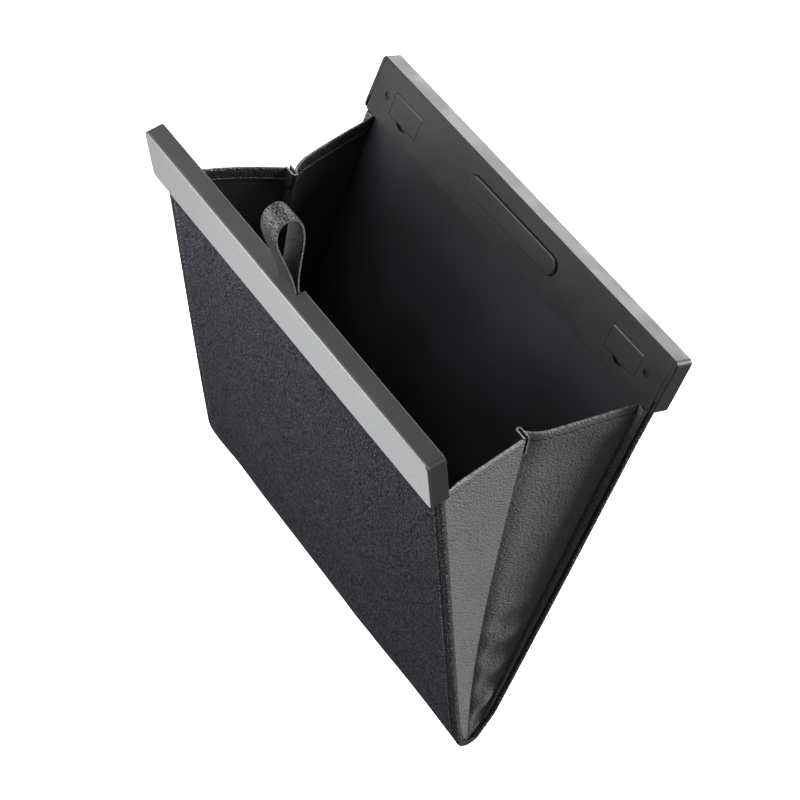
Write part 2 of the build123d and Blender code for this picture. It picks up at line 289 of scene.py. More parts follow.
# Outer leather: one cut of coated leather that covers the front, goes round the bottom and up the rear.
# Its side edges are rolled over the card between two ridges, beside a row of stitches.

# Inset from the panel's side and rise from its face, from the flat middle round to the back of the roll.
edge_steps = (
    (0.0072, 0.0), (0.0064, -0.00005), (0.0060, -0.00035), (0.0056, -0.00005), (0.0051, 0.0001),
    (0.0044, 0.00015), (0.0039, 0.0), (0.0037, -0.0008), (0.0033, -0.0008), (0.0030, -0.0001),
    (0.0025, 0.00025), (0.0020, 0.0002), (0.0017, -0.0003), (0.0013, 0.0), (0.0007, -0.0001),
    (0.0002, -0.0006), (0.0, -0.0013), (0.0, -0.0021), (0.0003, -0.0028), (0.0008, -0.0032),
    (0.0014, -0.0033),
)
edge_width = edge_steps[0][0]
edge_held = 0.02
bar_held = 0.012
roll_from = 0.0037
roll_wall = 0.00135
roll_lining_gap = 0.0003
leather_step = 0.003
turn_step = 0.0008
leather_ripple = 0.0014
leather_ripple_size = 0.085
crinkle = leather_ripple / 8
crinkle_size = 0.017
grain_length = 0.0018
grain_pitch = 0.0017
grain_full = 0.34
grain_dark = (0.005, 0.005, 0.008)
grain_light = (0.106, 0.109, 0.129)
grain_relief = 0.0012
pore_relief = 0.00004
cloud_share = 0.15

panel_leather = new_finish("charcoal grained leather", {"Specular IOR Level": 0.1})
panel_place = add_node(panel_leather, "UVMap", {}, uv_map="flat")
panel_across = add_node(panel_leather, "Mapping",
                        {"Vector": panel_place, "Scale": (1 / grain_length, 1 / grain_pitch, 1)})
panel_cells = add_node(panel_leather, "TexVoronoi",
                       {"Vector": panel_across, "Scale": 1.0, "Randomness": 0.9},
                       feature="DISTANCE_TO_EDGE")
panel_grain = add_node(panel_leather, "MapRange", {"Value": panel_cells, "From Max": grain_full})
panel_pores = add_node(panel_leather, "TexNoise", {"Vector": panel_place, "Scale": 2400.0, "Detail": 3.0})
panel_cloud = add_node(panel_leather, "TexNoise", {"Vector": panel_place, "Scale": 26.0, "Detail": 3.0})
panel_patina = add_node(panel_leather, "Math", {0: panel_cloud, 1: cloud_share, 2: panel_grain},
                        operation="MULTIPLY_ADD")
feed(panel_leather, "Base Color", ramp(panel_leather, panel_patina, grain_dark, grain_light, 0.15, 0.95))
feed(panel_leather, "Roughness", ramp(panel_leather, panel_cloud, 0.46, 0.54))
panel_fine = relief(panel_leather, panel_pores, pore_relief, 0.6)
feed(panel_leather, "Normal", relief(panel_leather, panel_grain, grain_relief, 1.0, panel_fine))


def retoned(finish, name, low, high):
    """A copy of a finish whose colour, the first ramp made in it, runs between two other greys."""
    made = finish.copy()
    made.name = name
    for element, tone in zip(made.node_tree.nodes["Color Ramp"].color_ramp.elements, (low, high)):
        element.color = (tone, tone, tone, 1)
    return made


# The roll gets a greyer, glossier copy of the leather: real gloss, and a greyer tone that is painted
# highlight.
roll_leather_painted_highlight = retoned(panel_leather, "rolled edge leather", 0.014, 0.075)
roll_leather_painted_highlight.node_tree.nodes["Principled BSDF"].inputs["Specular IOR Level"].default_value = 0.4

inset = np.array([step[0] for step in edge_steps])
rise = np.array([step[1] for step in edge_steps])
middle_x = steps(-half_width + edge_width, half_width - edge_width, leather_step)[1:-1]
section_x = np.concatenate([-half_width + inset[::-1], middle_x, half_width - inset])
section_rise = np.concatenate([rise[::-1], 0 * middle_x, rise])
section_back_x = np.clip(section_x, roll_wall - half_width, half_width - roll_wall)
section_back = np.clip(leather_out + section_rise, lining_in + roll_lining_gap, board_out)
middle_share = smooth((half_width - np.abs(section_x) - edge_width) / edge_held)
# Cells on the roll, which take the copy with the painted highlight.
rolled = half_width - np.abs(section_x[:-1] + section_x[1:]) / 2 < roll_from


def leather_grids(along):
    """Face and flat places of the outer leather over a run of the wrap."""
    along = along[:, None]
    base = wrap(section_x[None, :], leather_out, along)
    clear_of_bar = smooth((half_turn + bar_low - np.abs(along)) / bar_held)
    soft = ripple(base, leather_ripple_size, leather_ripple) + ripple(base, crinkle_size, crinkle)
    edge_rise = section_rise * np.where(section_rise > 0, clear_of_bar, 1)
    lift = leather_out + edge_rise + soft * middle_share * clear_of_bar
    travelled = np.concatenate([[0], np.cumsum(np.hypot(np.diff(section_x), np.diff(section_rise)))])
    flat = np.stack(np.broadcast_arrays(travelled[None, :], along), axis=-1)
    return wrap(section_x[None, :], lift, along), flat


for half, direction in halves.items():
    along = direction * steps(half_turn, half_turn + panel_top, leather_step)
    face, flat = leather_grids(along)
    back = wrap(section_back_x[None, :], section_back[None, :], along[:, None])
    skin = sheet_piece(f"{half}_leather", face, back, flat, [panel_leather, roll_leather_painted_highlight],
                       face_finish=rolled)
    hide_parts(f"{half}_panel")
    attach(skin, half)

along = steps(-half_turn, half_turn, turn_step)
face, flat = leather_grids(along)
back = wrap(section_back_x[None, :], lining_in, along[:, None])
turn_skin = sheet_piece("bottom_leather", face, back, flat, [panel_leather, roll_leather_painted_highlight, lining_cloth],
                        face_finish=rolled, back_finish=2)
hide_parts("bottom_fold")
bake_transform(turn_skin)


# Panel stitches: waxed thread that holds the rolled edge, one row near each side of both panels.
# Lock stitches lie in a shallow channel and show as short slanting dashes.

stitch_pitch = 0.0035
stitch_length = 0.0025
stitch_thick = 0.00055
stitch_inset = 0.0060
stitch_rise = -0.0001
stitch_slant = 0.12
stitch_seed = 7
seam_step = 0.004
thread_dark = (0.10, 0.10, 0.11)
thread_light = (0.24, 0.24, 0.25)
thread_relief = 0.0001

thread = new_finish("grey waxed thread", {"Roughness": 0.5, "Specular IOR Level": 0.4})
thread_place = add_node(thread, "TexCoord", {}, "Object")
thread_ply = add_node(thread, "TexNoise", {"Vector": thread_place, "Scale": 1800.0, "Detail": 2.0})
feed(thread, "Base Color", ramp(thread, thread_ply, thread_dark, thread_light))
feed(thread, "Normal", relief(thread, thread_ply, thread_relief))


def stitch_tree():
    """Node tree that lays one stitch at each pitch along every run of edges."""
    tree = bpy.data.node_groups.new("stitch run", "GeometryNodeTree")
    tree.interface.new_socket("Runs", in_out="INPUT", socket_type="NodeSocketGeometry")
    for name in ("Pitch", "Length", "Thickness", "Slant"):
        tree.interface.new_socket(name, in_out="INPUT", socket_type="NodeSocketFloat")
    tree.interface.new_socket("Thread", in_out="INPUT", socket_type="NodeSocketMaterial")
    tree.interface.new_socket("Stitches", in_out="OUTPUT", socket_type="NodeSocketGeometry")

    def new(kind, settings=(), **inputs):
        made = tree.nodes.new(kind)
        for name, value in settings:
            setattr(made, name, value)
        for name, value in inputs.items():
            socket = made.inputs[name.replace("_", " ")]
            if isinstance(value, bpy.types.NodeSocket):
                tree.links.new(value, socket)
            else:
                socket.default_value = value
        return made

    def times(value, factor):
        made = new("ShaderNodeMath", [("operation", "MULTIPLY")])
        tree.links.new(value, made.inputs[0])
        made.inputs[1].default_value = factor
        return made.outputs[0]

    given = tree.nodes.new("NodeGroupInput").outputs
    run = new("GeometryNodeMeshToCurve", Mesh=given["Runs"])
    spaced = new("GeometryNodeResampleCurve", [("mode", "LENGTH")], Curve=run.outputs[0],
                 Length=given["Pitch"])
    half_length = times(given["Length"], 0.5)
    half_thick = times(given["Thickness"], 0.5)
    size = new("ShaderNodeCombineXYZ", X=half_length, Y=half_thick, Z=half_thick)
    bead = new("GeometryNodeMeshUVSphere", Segments=8, Rings=5, Radius=1.0)
    stitch = new("GeometryNodeTransform", Geometry=bead.outputs[0], Scale=size.outputs[0])
    tangent = new("GeometryNodeInputTangent")
    lie = new("FunctionNodeAlignRotationToVector", [("axis", "X")], Vector=tangent.outputs[0])
    slant = new("FunctionNodeRandomValue", [("data_type", "FLOAT")], Seed=stitch_seed)
    tree.links.new(times(given["Slant"], -1.0), slant.inputs[2])
    tree.links.new(given["Slant"], slant.inputs[3])
    tilt = new("ShaderNodeCombineXYZ", Y=slant.outputs[1], Z=slant.outputs[1])
    tilted = new("FunctionNodeRotateRotation", [("rotation_space", "LOCAL")], Rotation=lie.outputs[0],
                 Rotate_By=tilt.outputs[0])
    laid = new("GeometryNodeInstanceOnPoints", Points=spaced.outputs[0], Instance=stitch.outputs[0],
               Rotation=tilted.outputs[0])
    real = new("GeometryNodeRealizeInstances", Geometry=laid.outputs[0])
    waxed = new("GeometryNodeSetMaterial", Geometry=real.outputs[0], Material=given["Thread"])
    tree.links.new(waxed.outputs[0], tree.nodes.new("NodeGroupOutput").inputs[0])
    return tree


stitch_run = stitch_tree()


def stitches(name, runs, pitch, length, thick, slant, finish):
    """One mesh of stitches along runs of points."""
    points, edges = [], []
    for run in runs:
        first = len(points)
        points += [tuple(point) for point in run]
        edges += [(number, number + 1) for number in range(first, len(points) - 1)]
    mesh = bpy.data.meshes.new(name)
    mesh.from_pydata(points, edges, [])
    piece = bpy.data.objects.new(name, mesh)
    bpy.context.scene.collection.objects.link(piece)
    modifier = piece.modifiers.new("stitch run", "NODES")
    modifier.node_group = stitch_run
    given = {"Pitch": pitch, "Length": length, "Thickness": thick, "Slant": slant, "Thread": finish}
    for socket in stitch_run.interface.items_tree:
        if socket.name in given:
            modifier[socket.identifier] = given[socket.name]
    ready = piece.evaluated_get(bpy.context.evaluated_depsgraph_get())
    sewn = bpy.data.meshes.new_from_object(ready)
    piece.modifiers.clear()
    piece.data = sewn
    sewn.shade_smooth()
    return piece


for half, direction in halves.items():
    along = direction * steps(half_turn, half_turn + bar_low, seam_step)
    runs = [wrap(side * (half_width - stitch_inset), leather_out + stitch_rise, along) for side in (-1, 1)]
    seam = stitches(f"{half}_panel_stitches", runs, stitch_pitch, stitch_length, stitch_thick,
                    stitch_slant, thread)
    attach(seam, half)


# Gussets: one creased side of softer pebbled leather at each end, glued in a strip along both linings.
# Each folds in at a crease midway. Its top is turned over in a sewn hem, which is pinched into a pleat
# at the crease.

sides = {"left": -1, "right": 1}
half_sin = math.sin(opening / 2)
half_cos = math.cos(opening / 2)
gusset_thick = 0.0013
gusset_inset = 0.0016
gusset_seam_x = half_width - gusset_inset
gusset_bar_gap = 0.0007
gusset_top = bar_low - gusset_bar_gap
gusset_low = 0.0005
crease_dip = 0.0065
crease_top = gusset_top * half_cos - crease_dip
crease_low = -0.0034
crease_low_depth = 0.0005
crease_depth = {"left": 0.0184, "right": 0.0168}
crease_run = 0.080
crease_fold = 0.0046
crease_gap = 0.0007
glued_strip = {"rear": 0.0060, "front": 0.0010}
glued_share = 0.4
strip_roll = 0.0013
strip_columns = 6
wing_columns = 26
# The two handles of a wing's curve, as shares of the way from its glued foot to the crease: the share
# across the bin, then the share in height and depth. Slack takes them from the hem's to the sweep's.
hem_pulls = np.array(((0.33, 0.33), (0.67, 0.67)))
sweep_pulls = {"rear": ((0.62, 0.12), (1.25, 0.55)), "front": ((0.36, 0.33), (0.69, 0.67))}
slack_run = 0.030
slack_full = 0.6
shoulder_from = 0.80
# Steps round the fold at the crease: the share of its depth, then the share of its gap.
fold_steps = {
    "rear": ((1.0, 0.5), (1.04, 0.0)),
    "front": ((0.1, 0.92), (0.3, 0.8), (0.65, 0.5), (1.0, 0.0)),
}
fold_share = 0.3
fold_thick = gusset_thick / 3
gap_share = 0.1
wing_ripple = 0.0009
wing_ripple_size = 0.05
wrinkle_pitch = 0.0255
wrinkle_height = 0.0018
wrinkle_rise = 0.010
wrinkle_start = 0.012
wrinkle_top = 0.118
wrinkle_fade = 0.03
wrinkle_wander = 0.8
wrinkle_wander_size = 0.02
wrinkle_share = {"rear": 1.0, "front": 0.12}
seam_held = 0.12
hem_held = 0.02
hem_bow = {("left", "front"): 0.0026, ("left", "rear"): 0.0012}
hem_depth = 0.0080
hem_thick = 0.0010
hem_edge = 0.0009
hem_from = 0.1
hem_run = 0.1
hem_round = ((0, 0.0005, 0.0015), (0.0007, 0.0002, 0))
# Rows of a wing, as falls from its top edge: those of the hem, then even ones.
hem_rows = (0.0, 0.0005, 0.0015, 0.003, 0.0046, 0.0051, 0.0055, 0.0059, 0.0064, 0.0071, 0.008, 0.0082,
            0.0095, 0.012)
rows_from = 0.016
row_step = 0.004
last_row_gap = 0.002
hem_stitch = 0.0055
hem_stitch_pitch = 0.0038
hem_stitch_length = 0.0032
hem_stitch_thick = 0.0008
hem_stitch_slant = 0.05
hem_stitch_lift = 0.0001
channel_depth = 0.0004
channel_half_width = 0.0005
# Half-width of the rows in the hem's channel that are painted dark: a painted shadow line.
painted_shadow_half_width = 0.0004
pleat_reach = 0.0082
pleat_height = 0.0125
pleat_half_gap = 0.0014
pleat_thick = 0.0011
pleat_stand = 0.0006
pleat_taper = (0.55, 0.9, 1.0)
pleat_taper_at = 0.6
pleat_rows = 12
pleat_run_columns = 7
pleat_end_columns = 9
pleat_flat_step = 0.001
pebble_relief = 0.0008

gusset_leather = new_finish("grey pebbled leather", {"Specular IOR Level": 0.5})
gusset_place = add_node(gusset_leather, "UVMap", {}, uv_map="flat")
pebble_bend = add_node(gusset_leather, "Mapping",
                       {"Vector": gusset_place, "Rotation": (0, 0, 0.7), "Scale": (1, 1.5, 1)})
pebbles = add_node(gusset_leather, "TexVoronoi",
                   {"Vector": pebble_bend, "Scale": 820.0, "Randomness": 0.9}, feature="SMOOTH_F1")
gusset_pores = add_node(gusset_leather, "TexNoise",
                        {"Vector": gusset_place, "Scale": 2600.0, "Detail": 3.0})
gusset_cloud = add_node(gusset_leather, "TexNoise", {"Vector": gusset_place, "Scale": 30.0, "Detail": 4.0})
feed(gusset_leather, "Base Color", ramp(gusset_leather, pebbles, 0.142, 0.082, 0.15, 0.7))
feed(gusset_leather, "Roughness", ramp(gusset_leather, gusset_cloud, 0.40, 0.50))
gusset_fine = relief(gusset_leather, gusset_pores, pore_relief, 0.5)
gusset_grain = add_node(gusset_leather, "Math", {0: 1.0, 1: pebbles}, operation="SUBTRACT")
feed(gusset_leather, "Normal", relief(gusset_leather, gusset_grain, pebble_relief, 1.0, gusset_fine))

gusset_back = retoned(lining_cloth, "gusset lining", 0.013, 0.022)
# The strip along each wing's glued foot takes a darker copy of the leather: painted shade in the valley
# there.
painted_shade_glued_edge = retoned(gusset_leather, "glued edge leather", 0.100, 0.034)
# The inside of the hem, the hem's stitch channel and the pleat take a much darker copy: painted shade.
painted_shade_hem = retoned(gusset_leather, "turned hem leather", 0.022, 0.008)
raw_edge = retoned(gusset_leather, "raw leather edge", 0.20, 0.05)
black_thread = retoned(thread, "black waxed thread", 0.004, 0.012)
wing_finishes = [gusset_leather, gusset_back, painted_shade_hem, raw_edge, painted_shade_glued_edge]
plain, inside, turned, raw, glued = range(len(wing_finishes))


def crease_at(name, run):
    """The crease of one gusset at a distance up the plane midway between the panels."""
    depth = crease_low_depth + crease_depth[name] * (1 - np.exp(-np.maximum(run, 0) / crease_run))
    x = sides[name] * (gusset_seam_x - depth)
    return np.stack(np.broadcast_arrays(x, hinge_y - run * half_sin, hinge_z + run * half_cos), axis=-1)


def gusset_wing(name, half):
    """One wing: its outer face, inner face and flat cut, the finish of each inner row, the rows in the
    hem's channel that carry a painted shadow line, and the line of the hem's stitches."""
    across_x = np.array([sides[name], 0, 0])
    even_rows = np.arange(rows_from, gusset_top - last_row_gap, row_step)
    fall = np.concatenate([hem_rows, even_rows, [gusset_top]])
    share = 1 - fall / gusset_top
    along = half_turn + gusset_low + share * (gusset_top - gusset_low)
    seam = wrap(sides[name] * gusset_seam_x, lining_in - gusset_thick, halves[half] * along)
    crease = crease_at(name, crease_low + share * (crease_top - crease_low))
    depth = np.abs(seam[:, 0] - crease[:, 0])
    to_half = np.array([0, half_cos, half_sin]) * -halves[half]
    fold = np.minimum(crease_fold, fold_share * depth)[:, None]
    gap = np.minimum(crease_gap, gap_share * depth)[:, None]
    edge = crease + to_half * gap
    foot = seam - across_x * np.minimum(glued_strip[half], glued_share * depth)[:, None]
    slack = (smooth(fall / slack_run) * np.interp(share, (0, slack_full), (0, 1)))[:, None, None]
    pulls = hem_pulls + (np.array(sweep_pulls[half]) - hem_pulls) * slack
    near, far = (foot + (edge - foot) * pulls[:, end][:, [0, 1, 1]] for end in (0, 1))
    flush = np.linspace(0, 1, strip_columns + 1)[:-1, None]
    t = (0.5 - 0.5 * np.cos(np.linspace(0, math.pi, wing_columns)))[:, None]
    columns = [seam[:, None] * (1 - flush) + foot[:, None] * flush,
               foot[:, None] * (1 - t) ** 3 + 3 * near[:, None] * (1 - t) ** 2 * t
               + 3 * far[:, None] * (1 - t) * t ** 2 + edge[:, None] * t ** 3]
    if half == "rear":
        columns[0] = columns[0] - np.array([0, strip_roll, 0]) * np.sin(np.pi * flush)
        shoulder = np.clip((t - shoulder_from) / (1 - shoulder_from), 0, 1) ** 2
        columns[1] = columns[1] - across_x * fold[:, None] * shoulder
    for inward, apart in fold_steps[half]:
        columns.append((crease + to_half * gap * apart - across_x * fold * inward)[:, None])
    grid = np.concatenate(columns, axis=1)
    out = np.cross(np.gradient(grid, axis=0), np.gradient(grid, axis=1))
    out /= np.linalg.norm(out, axis=-1, keepdims=True)
    out *= np.sign(np.median(out[..., 0]) * sides[name])
    out[:, -1] = across_x
    travelled = np.cumsum(np.linalg.norm(np.diff(grid, axis=1), axis=-1), axis=1)
    width = np.concatenate([np.zeros((len(fall), 1)), travelled], axis=1)
    over = np.clip(width / width[:, -1:], 0, 1)
    middle = np.sin(np.pi * np.clip((over - seam_held) / (1 - seam_held), 0, 1)) ** 2
    height = (share * gusset_top)[:, None]
    slope = height - wrinkle_rise * (1 - over)
    waves = np.cos(2 * math.pi * slope / wrinkle_pitch) + ripple(grid, wrinkle_wander_size, wrinkle_wander)
    waves = waves * smooth((wrinkle_top - height) / wrinkle_fade) * smooth(height / wrinkle_start)
    soft = wrinkle_height * waves * wrinkle_share[half] + ripple(grid, wing_ripple_size, wing_ripple)
    soft = soft * middle * smooth(fall / hem_held)[:, None]
    soft = soft + hem_bow.get((name, half), 0) * np.sin(np.pi * over)
    top_round = np.interp(fall, *hem_round)
    channel = channel_depth * np.clip(1 - np.abs(fall - hem_stitch) / channel_half_width, 0, 1)
    outer = grid + out * (soft - (top_round + channel)[:, None])[..., None]
    band = np.where(fall <= hem_depth, hem_thick, 0)[:, None] * smooth((over - hem_from) / hem_run)
    wall = np.full(grid.shape[1], gusset_thick)
    wall[-len(fold_steps[half]):] = fold_thick
    inner = grid + out * (soft - wall - band + top_round[:, None])[..., None]
    flat = np.stack([width, np.broadcast_to(-fall[:, None], width.shape)], axis=-1)
    # The inside of the hem takes the much darker copy, painted shade, and its lower edge the raw edge.
    hem_bands = [fall[1:] <= hem_depth - hem_edge, fall[1:] <= hem_depth]
    inner_finish = np.select(hem_bands, [turned, raw], inside)
    row = int(np.argmin(np.abs(fall - hem_stitch)))
    run = slice(strip_columns if half == "rear" else 1, -1 - len(fold_steps[half]))
    # Rows in the hem's channel, painted dark as a painted shadow line.
    painted_shadow_rows = np.abs((fall[:-1] + fall[1:]) / 2 - hem_stitch) < painted_shadow_half_width
    hem_line = outer[row, run] + out[row, run] * hem_stitch_lift
    return outer, inner, flat, inner_finish, painted_shadow_rows, hem_line


def pleat_grid(name, offset):
    """One face of the pleat, a narrow loop that stands inwards from the crease; offset is out from its
    mid-line."""
    height = np.linspace(-pleat_height, pleat_stand, pleat_rows)
    end = np.linspace(math.pi / 2, -math.pi / 2, pleat_end_columns)
    half_gap = pleat_half_gap + offset
    run = np.linspace(0, 1, pleat_run_columns)[:-1]
    inward = np.concatenate([run, 1 + 0 * end, run[::-1]])
    round_end = np.concatenate([0 * run, half_gap * np.cos(end), 0 * run])
    across = np.concatenate([half_gap + 0 * run, half_gap * np.sin(end), -half_gap + 0 * run])
    tapers_at = (-pleat_height, -pleat_height * pleat_taper_at, 0)
    reach = pleat_reach * np.interp(height, tapers_at, pleat_taper)
    base = crease_at(name, crease_top + height)
    inward = inward[None, :] * (reach[:, None] - pleat_half_gap) + round_end[None, :]
    shift = np.broadcast_arrays(-sides[name] * inward, across * half_cos, across * half_sin)
    return base[:, None, :] + np.stack(shift, axis=-1)


for name in sides:
    for half in halves:
        outer, inner, flat, inner_finish, painted_shadow_rows, hem_line = gusset_wing(name, half)
        # The glued strip takes the darker copy: painted shade.
        face_finish = np.where(np.arange(outer.shape[1] - 1) < strip_columns, glued, plain)
        # The channel rows take the much darker copy: a painted shadow line.
        face_finish = np.where(painted_shadow_rows[:, None], turned, face_finish)
        wing = sheet_piece(f"{name}_gusset_{half}_wing", outer, inner, flat, wing_finishes, face_finish,
                           inner_finish[:, None], (raw, plain, glued, glued))
        seam = stitches(f"{name}_hem_stitches_{half}", [hem_line], hem_stitch_pitch, hem_stitch_length,
                        hem_stitch_thick, hem_stitch_slant, black_thread)
        pieces = [wing, seam]
        if half == "rear":
            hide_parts(f"{name}_gusset")
            # The pleat takes the much darker copy of the leather: painted shade.
            face = pleat_grid(name, pleat_thick / 2)
            back = pleat_grid(name, -pleat_thick / 2)
            places = np.meshgrid(np.arange(face.shape[1]), np.arange(pleat_rows))
            flat = np.stack(places, axis=-1) * pleat_flat_step
            pleat = sheet_piece(f"{name}_hem_pleat", face, back, flat, [painted_shade_hem, raw_edge],
                                rim_finish=(1, 1, 1, 1))
            pieces.append(pleat)
        for piece in pieces:
            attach(piece, half)
            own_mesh(piece)


# Bars: each is a moulded tray with a flat cover screwed over its inner side, which clamps the panel's top.
# Black plastic with a fine eroded grain, a little hazier in patches.

plastic_relief = 0.00006

plastic = new_finish("moulded black plastic", {"Specular IOR Level": 0.5})
plastic_place = add_node(plastic, "TexCoord", {}, "Object")
plastic_grain = add_node(plastic, "TexNoise",
                         {"Vector": plastic_place, "Scale": 1600.0, "Detail": 4.0, "Roughness": 0.65})
plastic_cloud = add_node(plastic, "TexNoise", {"Vector": plastic_place, "Scale": 60.0, "Detail": 3.0})
feed(plastic, "Base Color", ramp(plastic, plastic_grain, 0.018, 0.029))
feed(plastic, "Roughness", ramp(plastic, plastic_cloud, 0.38, 0.46))
feed(plastic, "Normal", relief(plastic, plastic_grain, plastic_relief, 0.7))


def paint(finish, *names):
    """Gives CAD nodes a finish in place of the plain one they carry."""
    for name in names:
        for slot in cad[name].material_slots:
            slot.material = finish


paint(plastic, "rear_bar_shell", "rear_bar_cover", "front_bar_shell", "front_bar_cover")


# Magnets and pads: a plated bar magnet sits behind each cover, under a raised pill of the bars' plastic.
# The pads all but meet when the mouth shuts, and keep the covers apart.

plated = new_finish("nickel plate", {"Metallic": 1.0, "Base Color": (0.62, 0.60, 0.56, 1)})
plated_place = add_node(plated, "TexCoord", {}, "Object")
plated_haze = add_node(plated, "TexNoise", {"Vector": plated_place, "Scale": 300.0, "Detail": 4.0})
feed(plated, "Roughness", ramp(plated, plated_haze, 0.18, 0.32))
paint(plated, "rear_magnet", "front_magnet")
paint(plastic, "rear_magnet_pad", "front_magnet_pad")


# Screws: small pan-head screws with a cross slot, two in each cover.
# Blackened steel, sunk in counterbored holes.

black_steel = new_finish("blackened steel", {"Metallic": 0.9})
steel_place = add_node(black_steel, "TexCoord", {}, "Object")
steel_wear = add_node(black_steel, "TexNoise", {"Vector": steel_place, "Scale": 1500.0, "Detail": 3.0})
feed(black_steel, "Base Color", ramp(black_steel, steel_wear, 0.05, 0.12))
feed(black_steel, "Roughness", ramp(black_steel, steel_wear, 0.28, 0.42))
paint(black_steel, "rear_bar_screws", "front_bar_screws")


# Liner clips: two flat flaps in the rear cover that hold the edge of a film bag.
# Moulded in the same plastic as the cover, on pins along their top edges.

paint(plastic, "left_liner_clip", "right_liner_clip")


# Front strip: a metal strip over the whole outer face of the front bar, left bare.
# Bead-blasted to a satin silver. Its bevel round the edge is painted darker: painted shade that dims the
# light the bevel catches.

strip_facing = (0, -math.cos(opening), -math.sin(opening))
bevel_until = 0.9
face_from = 0.96
satin_dark = (0.29, 0.295, 0.30)
satin_light = (0.42, 0.425, 0.43)
bead_relief = 0.00005

satin = new_finish("satin silver", {"Metallic": 1.0})
satin_place = add_node(satin, "TexCoord", {}, "Object")
satin_beads = add_node(satin, "TexNoise",
                       {"Vector": satin_place, "Scale": 1500.0, "Detail": 3.0, "Roughness": 0.6})
satin_normal = add_node(satin, "TexCoord", {}, "Normal")
satin_faces = add_node(satin, "VectorMath", {0: satin_normal, 1: strip_facing}, "Value",
                       operation="DOT_PRODUCT")
satin_tone = ramp(satin, satin_beads, satin_dark, satin_light)
# The bevel is painted darker than the face: painted shade.
bevel_painted_shade = ramp(satin, satin_faces, 0.35, 1.0, bevel_until, face_from)
satin_with_painted_shade = add_node(satin, "MixRGB", {"Fac": 1.0, "Color1": satin_tone, "Color2": bevel_painted_shade},
                        blend_type="MULTIPLY")
feed(satin, "Base Color", satin_with_painted_shade)
feed(satin, "Roughness", ramp(satin, satin_faces, 0.52, 0.46, bevel_until, face_from))
feed(satin, "Normal", relief(satin, satin_beads, bead_relief, 0.6))
paint(satin, "front_bar_trim")


# Pull loop: a strap of the leather folded double, with both ends clamped in the front bar's notch.
# Grained outside, napped inside, with raw cut edges.

loop_half_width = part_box("pull_loop")[1][0]
loop_strap = 0.0016
loop_tail_y = lining_in + loop_strap
loop_rows = 120
strap_step = 0.0009
strap_edge = 0.0004
strap_edge_thick = 0.6
nap_relief = 0.0003
# Mid-line of the strap, from tail to tail: out from between the tails, and up from the bar's top.
loop_path = (
    (-0.00085, -0.0095), (-0.00085, -0.004), (-0.0008, 0.001), (-0.0020, 0.0108), (-0.0054, 0.0236),
    (-0.0084, 0.0344), (-0.0092, 0.0442), (-0.0062, 0.0526), (-0.0008, 0.0550), (0.0046, 0.0526),
    (0.0074, 0.0452), (0.0066, 0.0358), (0.0038, 0.0236), (0.0016, 0.0116), (0.0008, 0.001),
    (0.00085, -0.004), (0.00085, -0.0095),
)

strap_leather = retoned(gusset_leather, "strap leather", 0.020, 0.005)
strap_leather.node_tree.nodes["Principled BSDF"].inputs["Specular IOR Level"].default_value = 0.4
strap_gloss = strap_leather.node_tree.nodes["Color Ramp.001"].color_ramp.elements
for element, gloss in zip(strap_gloss, (0.34, 0.44)):
    element.color = (gloss, gloss, gloss, 1)
nap = new_finish("napped leather", {"Roughness": 0.95, "Sheen Weight": 0.05, "Sheen Roughness": 0.5})
nap_place = add_node(nap, "UVMap", {}, uv_map="flat")
nap_fibre = add_node(nap, "TexNoise",
                     {"Vector": nap_place, "Scale": 900.0, "Detail": 4.0, "Roughness": 0.75})
feed(nap, "Base Color", ramp(nap, nap_fibre, 0.002, 0.06, 0.52, 0.64))
feed(nap, "Normal", relief(nap, nap_fibre, nap_relief))


def smooth_path(points, count):
    """A flowing line led by the given points, as evenly spaced places and how far along each lies."""
    curve = bpy.data.curves.new("path", "CURVE")
    curve.dimensions = "3D"
    curve.resolution_u = 12
    spline = curve.splines.new("NURBS")
    spline.points.add(len(points) - 1)
    for point, (y, z) in zip(spline.points, points):
        point.co = (0, y, z, 1)
    spline.order_u = 4
    spline.use_endpoint_u = True
    holder = bpy.data.objects.new("path", curve)
    bpy.context.scene.collection.objects.link(holder)
    line = bpy.data.meshes.new_from_object(holder.evaluated_get(bpy.context.evaluated_depsgraph_get()))
    dense = np.array([vertex.co[:] for vertex in line.vertices])[:, 1:]
    bpy.data.objects.remove(holder)
    travelled = np.concatenate([[0], np.cumsum(np.linalg.norm(np.diff(dense, axis=0), axis=1))])
    even = np.linspace(0, travelled[-1], count)
    return np.stack([np.interp(even, travelled, dense[:, axis]) for axis in (0, 1)], axis=-1), even


line, travelled = smooth_path(loop_path, loop_rows)
tangent = np.gradient(line, axis=0)
tangent /= np.linalg.norm(tangent, axis=1, keepdims=True)
outward = np.stack([-tangent[:, 1], tangent[:, 0]], axis=-1)
strap_x = steps(-loop_half_width, loop_half_width, strap_step)
edge_round = np.interp(loop_half_width - np.abs(strap_x), (0, strap_edge), (strap_edge_thick, 1.0))


def strap_grid(offset):
    """One face of the strap in the row frame; offset is out from its mid-line."""
    place = line[:, None, :] + outward[:, None, :] * (offset * edge_round)[None, :, None]
    y = -(loop_tail_y + place[..., 0])
    z = bar_top + place[..., 1]
    x = np.broadcast_to(strap_x[None, :], y.shape)
    return np.stack([x, hinge_y + y * math.cos(opening) - z * math.sin(opening),
                     hinge_z + y * math.sin(opening) + z * math.cos(opening)], axis=-1)


flat = np.stack(np.broadcast_arrays(strap_x[None, :], travelled[:, None]), axis=-1)
loop = sheet_piece("pull_loop_strap", strap_grid(loop_strap / 2), strap_grid(-loop_strap / 2), flat,
                   [strap_leather, nap, raw_edge], back_finish=1, rim_finish=(2, 2, 2, 2))
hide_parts("pull_loop")
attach(loop, "front")


# Studio: a plain pale floor well under the hanging bin, turned up far off, a wide key from behind on the
# right and soft boxes round the bin, with one for the silver strip alone.
# The camera looks down on the open mouth from the front right, turned as the photograph is.

floor_drop = 1.0
floor_reach = 12
wall_top = floor_reach / 2
bin_middle = (0.0, -0.07, -0.12)

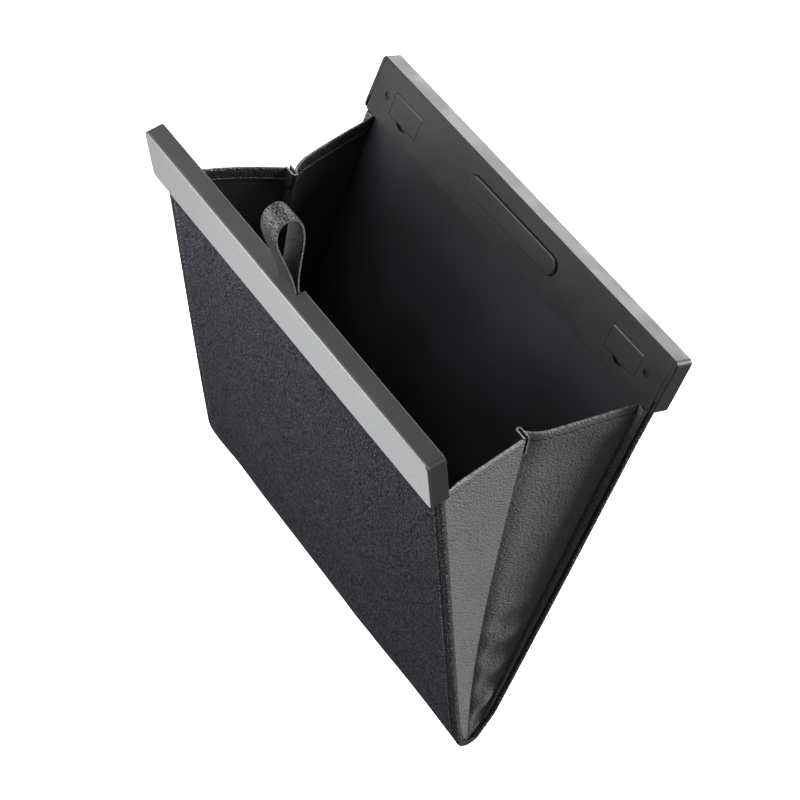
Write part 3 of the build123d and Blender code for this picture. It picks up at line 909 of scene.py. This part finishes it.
pale = new_finish("pale floor", {"Base Color": (0.97, 0.97, 0.97, 1), "Roughness": 0.95,
                                 "Emission Strength": 1.0})
floor_z = cad_box[0][2] - floor_drop
floor_corners = [(x * floor_reach, y * floor_reach) for x, y in ((-1, -1), (1, -1), (1, 1), (-1, 1))]
floor_points = [(x, y, z) for z in (floor_z, wall_top) for x, y in floor_corners]
floor_faces = [(0, 1, 2, 3), (1, 0, 4, 5), (2, 1, 5, 6), (3, 2, 6, 7), (0, 3, 7, 4)]
floor_mesh = bpy.data.meshes.new("floor")
floor_mesh.from_pydata(floor_points, [], floor_faces)
floor_mesh.materials.append(pale)
floor = bpy.data.objects.new("floor", floor_mesh)
floor.visible_diffuse = False
floor.visible_glossy = False
floor.visible_shadow = False
bpy.context.scene.collection.objects.link(floor)

world = bpy.data.worlds.new("studio")
world.use_nodes = True
world.node_tree.nodes["Background"].inputs["Color"].default_value = (1, 1, 1, 1)
world.node_tree.nodes["Background"].inputs["Strength"].default_value = 0.18
bpy.context.scene.world = world


def aim(holder, place, target):
    """Sets a lamp in its place, turned to its target."""
    holder.location = place
    holder.rotation_euler = (Vector(target) - Vector(place)).to_track_quat("-Z", "Y").to_euler()
    bpy.context.scene.collection.objects.link(holder)


def soft_box(name, place, size, power):
    """A soft rectangular lamp that the camera doesn't see, turned to the bin."""
    lamp = bpy.data.lights.new(name, "AREA")
    lamp.shape = "RECTANGLE"
    lamp.size, lamp.size_y = size
    lamp.energy = power
    holder = bpy.data.objects.new(name, lamp)
    holder.visible_camera = False
    aim(holder, place, bin_middle)
    return holder


key = bpy.data.lights.new("key", "SUN")
key.energy = 5.5
key.angle = math.radians(35)
aim(bpy.data.objects.new("key", key), (0.50, 0.60, 0.65), (0, 0, 0))
soft_box("front box", (-0.9, -1.35, 0.45), (1.6, 1.4), 5)
soft_box("near box", (-0.14, -0.42, 0.03), (0.4, 0.4), 2.1)
soft_box("panel box", (-0.16, -0.46, -0.08), (0.3, 0.3), 1.4)
strip_box = soft_box("strip box", (-0.28, 0.05, -1.1), (1.1, 1.2), 5)
strip_box.light_linking.receiver_collection = bpy.data.collections.new("lit by the strip box")
strip_box.light_linking.receiver_collection.objects.link(cad["front_bar_trim"])
soft_box("low front box", (-0.40, -1.4, -1.0), (1.4, 1.4), 2)
soft_box("top box", (-0.8, -0.55, 1.05), (1.0, 1.0), 1.0)
soft_box("back box", (-1.0, 1.2, 1.05), (1.2, 1.0), 30)

camera = bpy.data.objects.new("camera", bpy.data.cameras.new("camera"))
camera.location = (0.69075, -0.88447, 0.6451)
camera.rotation_euler = [math.radians(angle) for angle in (52.39, -20.11, 53.95)]
camera.data.sensor_width = 36
camera.data.lens = 107.6
bpy.context.scene.collection.objects.link(camera)
bpy.context.scene.camera = camera
bpy.context.scene.view_settings.view_transform = "Standard"
